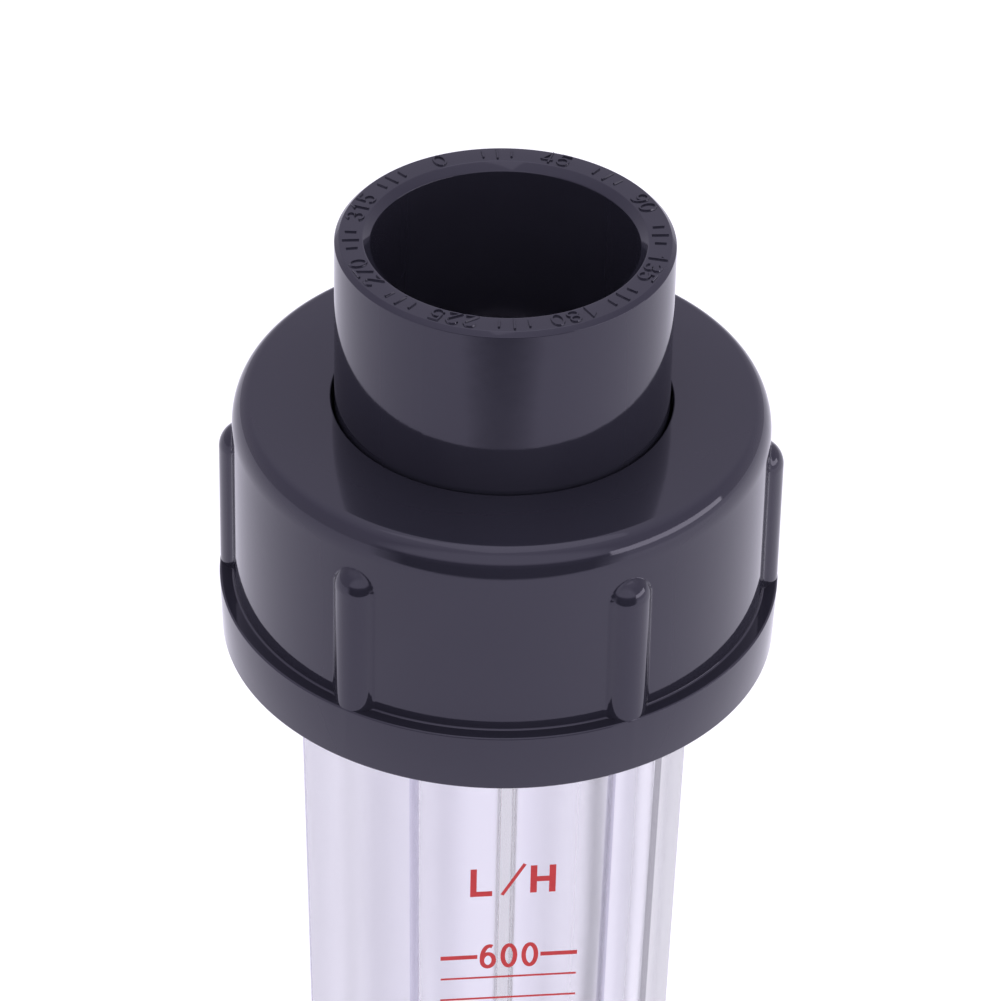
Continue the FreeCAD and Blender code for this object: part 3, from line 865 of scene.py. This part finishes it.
def charcoal_plastic(name, spread):
    """Glossy violet-grey moulded plastic: faint flow mottling, very slight orange peel, fine scuffs."""
    n = Surface(name)
    mottle = n.noise(60.0 * spread)
    haze = n.noise(140.0 * spread, detail=4.0, rough=0.6)
    peel = n.bump(n.noise(420.0, detail=2.0), strength=0.08, distance=0.06 * MM)
    grain = n.bump(n.noise(5200.0, detail=2.0), strength=0.05, distance=0.008 * MM, normal=peel)
    n.set(Base_Color=n.ramp(mottle, *CHARCOAL), Roughness=n.between(haze, 0.045, 0.085),
          Normal=grain, IOR=CHARCOAL_IOR, Specular_Tint=CHARCOAL_SHEEN)
    return n.material


def clear_plastic(name, tint_and_shade, rough=None):
    """Clear moulded plastic with faint flow waves, in a colour that some copies darken with painted shade;
    without a roughness it is the bore's wall.
    """
    n = Surface(name)
    cloud = n.noise(35.0, detail=2.0, stretch=(1.0, 1.0, 0.25))
    waves = n.noise(160.0, detail=2.0, stretch=(1.0, 1.0, 0.12))
    if rough is None:
        # Satin where the mould's core is widest, clear lower down around the float.
        height = n.add("ShaderNodeSeparateXYZ", Vector=n.place()).outputs["Z"]
        finish = n.span(height, BORE_CLEAR_TO, BORE_SATIN_FROM, BORE_CLEAR_ROUGH, BORE_ROUGH)
    else:
        finish = n.between(n.noise(90.0, detail=2.0), rough, rough + FLOW_ROUGH_SPREAD)
    n.set(Base_Color=n.ramp(cloud, *tint_and_shade), Roughness=finish, Normal=n.bump(waves, 0.05, 0.06 * MM),
          IOR=CLEAR_IOR, Transmission_Weight=1.0)
    return n.material


def red_ink():
    """Screen-printed red ink, a little uneven."""
    n = Surface("scale_ink")
    patch = n.noise(900.0, rough=0.6)
    n.set(Base_Color=n.ramp(patch, *RED_INK), Roughness=n.between(n.noise(1500.0), 0.35, 0.5),
          Normal=n.bump(n.noise(6000.0), 0.15, 0.01 * MM))
    return n.material


def turned_steel():
    """Stainless steel with fine turning lines around the axis."""
    n = Surface("turned_steel")
    lines = n.noise(900.0, rough=0.6, stretch=(0.02, 0.02, 8.0))
    n.set(Base_Color=n.ramp(lines, *STEEL), Roughness=n.between(lines, 0.16, 0.28),
          Normal=n.bump(lines, 0.25, 0.02 * MM), Metallic=1.0)
    return n.material


def black_rubber():
    """Matte black seal rubber with a fine grain."""
    n = Surface("seal_rubber")
    grain = n.noise(3000.0)
    n.set(Base_Color=n.ramp(grain, *RUBBER), Roughness=n.between(grain, 0.5, 0.65),
          Normal=n.bump(grain, 0.3, 0.02 * MM))
    return n.material


def white_plastic():
    """Satin white moulded plastic of the float stops."""
    n = Surface("stop_plastic")
    cloud = n.noise(120.0)
    n.set(Base_Color=n.ramp(cloud, *STOP_WHITE), Roughness=n.between(n.noise(700.0), 0.32, 0.45),
          Normal=n.bump(n.noise(4000.0), 0.15, 0.01 * MM))
    return n.material


def dress(obj, material):
    """Gives every slot of an object the material."""
    if not obj.data.materials:
        obj.data.materials.append(material)
    for index in range(len(obj.data.materials)):
        obj.data.materials[index] = material


# ---------------------------------------------------------------- the pieces

nut_plastic = charcoal_plastic("charcoal_nut_plastic", 1.0)
pipe_plastic = charcoal_plastic("charcoal_pipe_plastic", 1.3)
clear = clear_plastic("clear_plastic", CLEAR_TINT, 0.0)
clear_bore = clear_plastic("clear_plastic_bore", CLEAR_TINT)
clear_shaded_corner = clear_plastic("clear_plastic_shaded_corner", CORNER_PAINTED_SHADE, CORNER_ROUGH)
clear_shaded_guide = clear_plastic("clear_plastic_shaded_guide", GUIDE_PAINTED_SHADE, GUIDE_ROUGH)
clear_satin = clear_plastic("clear_plastic_satin", CLEAR_TINT, SATIN_ROUGH)
clear_shaded_band = clear_plastic("clear_plastic_shaded_band", BAND_PAINTED_SHADE, GUIDE_ROUGH)
ink = red_ink()
steel = turned_steel()
rubber = black_rubber()
stop_plastic = white_plastic()

SATIN_SIDE = math.radians(-150)
# Two strips of the right-hand side, told by their bearings and darkened with painted shade: a dark one,
# then a paler one.
SHADE_STRIP_START = math.radians(-26)
SHADE_STRIP_SPLIT = math.radians(-19)
SHADE_STRIP_END = math.radians(2)
RECESS_MARGIN = 0.5 * MM
CORNER_SHADE_WIDTH = 0.3 * MM
RIB_MARGIN = 0.12 * MM
FRONT_SHARE = 0.8


def add_piece(obj, material, body, node=None):
    """Finishes a piece: its material, the body it rides on and the node it stands for."""
    dress(obj, material)
    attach(obj, body)
    if node:
        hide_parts(node)


def tube_finish(x, y, height):
    """The plastic at a point of the tube's skin: copies darkened with painted shade at the column's
    corners, on two strips of the right-hand side and on the front guide rib; satin on the left-front side,
    where the moulding scatters light.
    """
    out = math.hypot(x, y)
    bearing = math.atan2(y, x)
    if out < RECESS_RADIUS - RECESS_MARGIN:
        # Painted shade: the front guide rib takes a greenish-grey copy of the clear plastic.
        painted_rib_shade = out < bore_radius(height) - RIB_MARGIN and y < -FRONT_SHARE * out
        return clear_shaded_guide if painted_rib_shade else clear_bore
    if not HEX_FOOT < height < HEX_TOP:
        return clear
    # Painted shade: the column's corners take a darker copy of the clear plastic.
    if out > hexagon_radius(height) - CORNER_SHADE_WIDTH:
        return clear_shaded_corner
    # Painted shade: two strips of the right-hand side take darker copies of the clear plastic.
    if SHADE_STRIP_START < bearing < SHADE_STRIP_SPLIT:
        return clear_shaded_band
    if SHADE_STRIP_SPLIT < bearing < SHADE_STRIP_END:
        return clear_shaded_guide
    return clear_satin if abs(bearing - SATIN_SIDE) < TURN / 12 else clear


def finish_tube(obj):
    """Gives each face of the tube its own finish, some of them darkened with painted shade."""
    plastics_and_shades = [clear, clear_bore, clear_shaded_corner, clear_shaded_guide, clear_satin, clear_shaded_band]
    for material in plastics_and_shades[1:]:
        obj.data.materials.append(material)
    for face in obj.data.polygons:
        face.material_index = plastics_and_shades.index(tube_finish(*face.center))


measuring_tube = clear_tube()
add_piece(measuring_tube, clear, "tube", "measuring_tube")
finish_tube(measuring_tube)
add_piece(scale_print(), ink, "tube")
upper_nut = union_nut("upper_nut_shell", upright(upper_nut_low.z, UPPER_NUT_ANGLE))
lower_nut = union_nut("lower_nut_shell", hanging(lower_nut_high.z, LOWER_NUT_ANGLE))
upper_pipe = tailpiece("upper_socket_pipe", upright(upper_tail_low.z))
lower_pipe = tailpiece("lower_socket_pipe", hanging(lower_tail_high.z))
upper_marks = rim_marks("upper_rim_marks", upper_tail_high.z - RIM_MARK_HEIGHT, False)
lower_marks = rim_marks("lower_rim_marks", lower_tail_low.z + RIM_MARK_HEIGHT, True)
add_piece(upper_nut, nut_plastic, "upper_nut", "upper_union_nut")
add_piece(lower_nut, nut_plastic, "lower_nut", "lower_union_nut")
add_piece(upper_pipe, pipe_plastic, "upper_tail", "upper_tailpiece")
add_piece(lower_pipe, pipe_plastic, "lower_tail", "lower_tailpiece")
add_piece(upper_marks, pipe_plastic, "upper_tail")
add_piece(lower_marks, pipe_plastic, "lower_tail")

for node_name, material in (
    ("float", steel),
    ("upper_o_ring", rubber),
    ("lower_o_ring", rubber),
    ("upper_float_stop", stop_plastic),
    ("lower_float_stop", stop_plastic),
    ("measuring_tube", clear),
    ("upper_union_nut", nut_plastic),
    ("lower_union_nut", nut_plastic),
    ("upper_tailpiece", pipe_plastic),
    ("lower_tailpiece", pipe_plastic),
):
    dress(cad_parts[node_name], material)


# ---------------------------------------------------------------- stage, light and camera

# The photograph's camera, placed from the centre of the upper rim.
CAMERA_AZIMUTH = math.radians(6.34)
CAMERA_DISTANCE = 343.56 * MM
CAMERA_RISE = 224.77 * MM
CAMERA_PITCH = math.radians(35.947)
CAMERA_YAW = math.radians(0.0054)
CAMERA_ROLL = math.radians(1.216)
# Its focal length over the width of its sensor.
FOCAL_SHARE = 5.4945055
SENSOR_WIDTH = 36.0
CLIP_NEAR = 0.01
CLIP_FAR = 50.0
# The level direction from the object to the camera's side.
CAMERA_SIDE = (-math.sin(CAMERA_AZIMUTH), -math.cos(CAMERA_AZIMUTH), 0.0)

FLOOR_REACH = 4.0
FLOOR_CELLS = 8
PAPER = (rgb(0.80, 0.80, 0.80), rgb(0.82, 0.82, 0.82))
PAPER_GLOW = 0.36
# In reflections only, the floor is painted dark some way in front of the object, but not at its sides: a
# painted dark reflection.
DARK_REFLECTION_FROM = 0.35
DARK_REFLECTION_SOFTNESS = 0.06
DARK_REFLECTION_FACING = (0.62, 0.80)
PAINTED_DARK_REFLECTION = rgb(0.05, 0.05, 0.06)
# Painted colours of the floor: darker lavender through clear plastic, lavender in reflections.
FLOOR_PAINTED_THROUGH = rgb(0.455, 0.44, 0.50)
FLOOR_PAINTED_REFLECTION = rgb(0.74, 0.72, 0.84)

# The room, by how far up a direction points: its foot, a share of the way, and straight up.
ROOM_FOOT = rgb(0.62, 0.59, 0.71)
ROOM_MIDDLE = (0.55, rgb(0.66, 0.625, 0.76))
ROOM_TOP = rgb(1.1, 1.07, 1.22)
# Seen through clear plastic, the room is mostly this painted lavender in place of its own light and shade.
THROUGH_PLASTIC_PAINTED_TONE = rgb(0.86, 0.84, 0.94)
THROUGH_PLASTIC_PAINTED_SHARE = 0.85
# On the camera's side the room is dark below the first pair of heights and lit above the second.
CAMERA_SIDE_FACING = (0.62, 0.78)
DARK_HEIGHTS = (0.13, 0.06)
LIT_HEIGHTS = (0.08, 0.20)
DARK_ROOM = rgb(0.12, 0.11, 0.15)
OVER_CAMERA = rgb(1.15, 1.12, 1.27)
LAMP_TINT = (1.0, 0.985, 1.0)
LAMP_AIM = Vector((0, 0, 0.19))


def paper_floor():
    """A pale matte floor that shows white behind the object and keeps its shadow; in reflections it is a
    painted lavender with a painted dark band in front of the object, and through clear plastic a darker
    painted lavender.
    """
    n = Surface("paper_floor")
    seen, glossy, through = n.rays()
    # Painted dark reflection: in reflections only, the floor turns dark in front of the object, but not at
    # its sides.
    dark_reflection_ahead = n.span(n.along(n.place(), CAMERA_SIDE), DARK_REFLECTION_FROM, DARK_REFLECTION_FROM + DARK_REFLECTION_SOFTNESS)
    facing = n.span(n.along(n.unit(n.place()), CAMERA_SIDE), *DARK_REFLECTION_FACING)
    mirrored = n.calculate("SUBTRACT", glossy, through, clamp=True)
    dark_reflection_mask = n.calculate("MULTIPLY", n.calculate("MULTIPLY", dark_reflection_ahead, facing), mirrored)
    paper = n.ramp(n.noise(300.0), *PAPER)
    n.set(Base_Color=n.mix(dark_reflection_mask, paper, PAINTED_DARK_REFLECTION), Roughness=0.9, Specular_IOR_Level=0.0)
    # Painted reflection and painted shade: the floor glows lavender in reflections and darker lavender
    # through clear plastic.
    # Rays through clear plastic count as glossy too, so their colour is chosen last.
    tone = n.mix(through, n.mix(glossy, WHITE, FLOOR_PAINTED_REFLECTION), FLOOR_PAINTED_THROUGH)
    direct = n.calculate("ADD", seen, through, clamp=True)
    lit = n.calculate("SUBTRACT", n.calculate("ADD", direct, glossy, clamp=True), dark_reflection_mask)
    glow = n.add("ShaderNodeEmission", Color=tone, Strength=n.calculate("MULTIPLY", lit, PAPER_GLOW))
    both = n.tree.nodes.new("ShaderNodeAddShader")
    n.feed(both.inputs[0], n.shader.outputs["BSDF"])
    n.feed(both.inputs[1], glow.outputs["Emission"])
    n.feed(n.tree.nodes["Material Output"].inputs["Surface"], both.outputs[0])
    return n.material


def floor():
    """A wide floor that the object stands on."""
    line = [FLOOR_REACH * (2 * step / FLOOR_CELLS - 1) for step in range(FLOOR_CELLS + 1)]
    vertices = [(x, y, CAD_BOX[0][2]) for y in line for x in line]
    faces = []
    for row in range(FLOOR_CELLS):
        for column in range(FLOOR_CELLS):
            first = row * len(line) + column
            faces.append((first, first + 1, first + len(line) + 1, first + len(line)))
    obj = mesh_object("floor", vertices, faces)
    dress(obj, paper_floor())


def camera():
    """The photograph's camera."""
    data = bpy.data.cameras.new("photo_camera")
    data.sensor_width = SENSOR_WIDTH
    data.lens = FOCAL_SHARE * SENSOR_WIDTH
    data.clip_start = CLIP_NEAR
    data.clip_end = CLIP_FAR
    obj = bpy.data.objects.new("photo_camera", data)
    bpy.context.scene.collection.objects.link(obj)
    rim = Vector((0, 0, upper_tail_high.z))
    place = rim + Vector(CAMERA_SIDE) * CAMERA_DISTANCE + Vector((0, 0, CAMERA_RISE))
    heading = CAMERA_AZIMUTH + CAMERA_YAW
    level = Vector((math.sin(heading), math.cos(heading), 0))
    forward = level * math.cos(CAMERA_PITCH) - Vector((0, 0, 1)) * math.sin(CAMERA_PITCH)
    side = forward.cross(Vector((0, 0, 1))).normalized()
    top = side.cross(forward)
    right = side * math.cos(CAMERA_ROLL) + top * math.sin(CAMERA_ROLL)
    up = top * math.cos(CAMERA_ROLL) - side * math.sin(CAMERA_ROLL)
    turn = Matrix((right, up, -forward)).transposed()
    obj.matrix_world = Matrix.Translation(place) @ turn.to_4x4()
    bpy.context.scene.camera = obj


def softbox(name, direction, distance, wide, radiance):
    """A soft area lamp that faces the object, its brightness given as what a mirror would show."""
    data = bpy.data.lights.new(name, "AREA")
    data.shape = "RECTANGLE"
    data.size, data.size_y = wide
    data.energy = radiance * math.pi * wide[0] * wide[1]
    data.color = LAMP_TINT
    obj = bpy.data.objects.new(name, data)
    bpy.context.scene.collection.objects.link(obj)
    obj.location = LAMP_AIM + Vector(direction).normalized() * distance
    obj.rotation_euler = (LAMP_AIM - obj.location).to_track_quat("-Z", "Y").to_euler()


def studio_world():
    """White behind the object; for lighting and reflections a soft room, darker on the camera's side;
    through clear plastic mostly an even painted lavender in place of the room's own light and shade.
    """
    world = bpy.data.worlds.new("studio")
    bpy.context.scene.world = world
    world.use_nodes = True
    world.node_tree.nodes.clear()
    n = Nodes(world.node_tree)
    direction = n.add("ShaderNodeTexCoord").outputs["Generated"]
    up = n.add("ShaderNodeSeparateXYZ", Vector=direction).outputs["Z"]
    facing = n.span(n.along(direction, CAMERA_SIDE), *CAMERA_SIDE_FACING)
    dark = n.calculate("MULTIPLY", facing, n.span(up, *DARK_HEIGHTS))
    over = n.calculate("MULTIPLY", facing, n.span(up, *LIT_HEIGHTS))
    walls = n.ramp(up, ROOM_FOOT, ROOM_TOP, 0.0, 1.0, ROOM_MIDDLE)
    room = n.mix(dark, n.mix(over, walls, OVER_CAMERA), DARK_ROOM)
    seen, _, through = n.rays()
    # Painted light and shade through clear plastic: rays through it mostly see the painted lavender.
    glass = n.mix(n.calculate("MULTIPLY", through, THROUGH_PLASTIC_PAINTED_SHARE), room, THROUGH_PLASTIC_PAINTED_TONE)
    background = n.add("ShaderNodeBackground", Color=n.mix(seen, glass, WHITE))
    n.add("ShaderNodeOutputWorld", Surface=background.outputs["Background"])


floor()
camera()
studio_world()
softbox("overhead_softbox", direction=(0.05, -0.1, 1.0), distance=1.1, wide=(0.9, 0.9), radiance=0.45)
softbox("right_strip", direction=(0.878, -0.429, 0.1), distance=0.9, wide=(0.9, 0.2), radiance=2.6)

bpy.context.scene.view_settings.view_transform = "Standard"
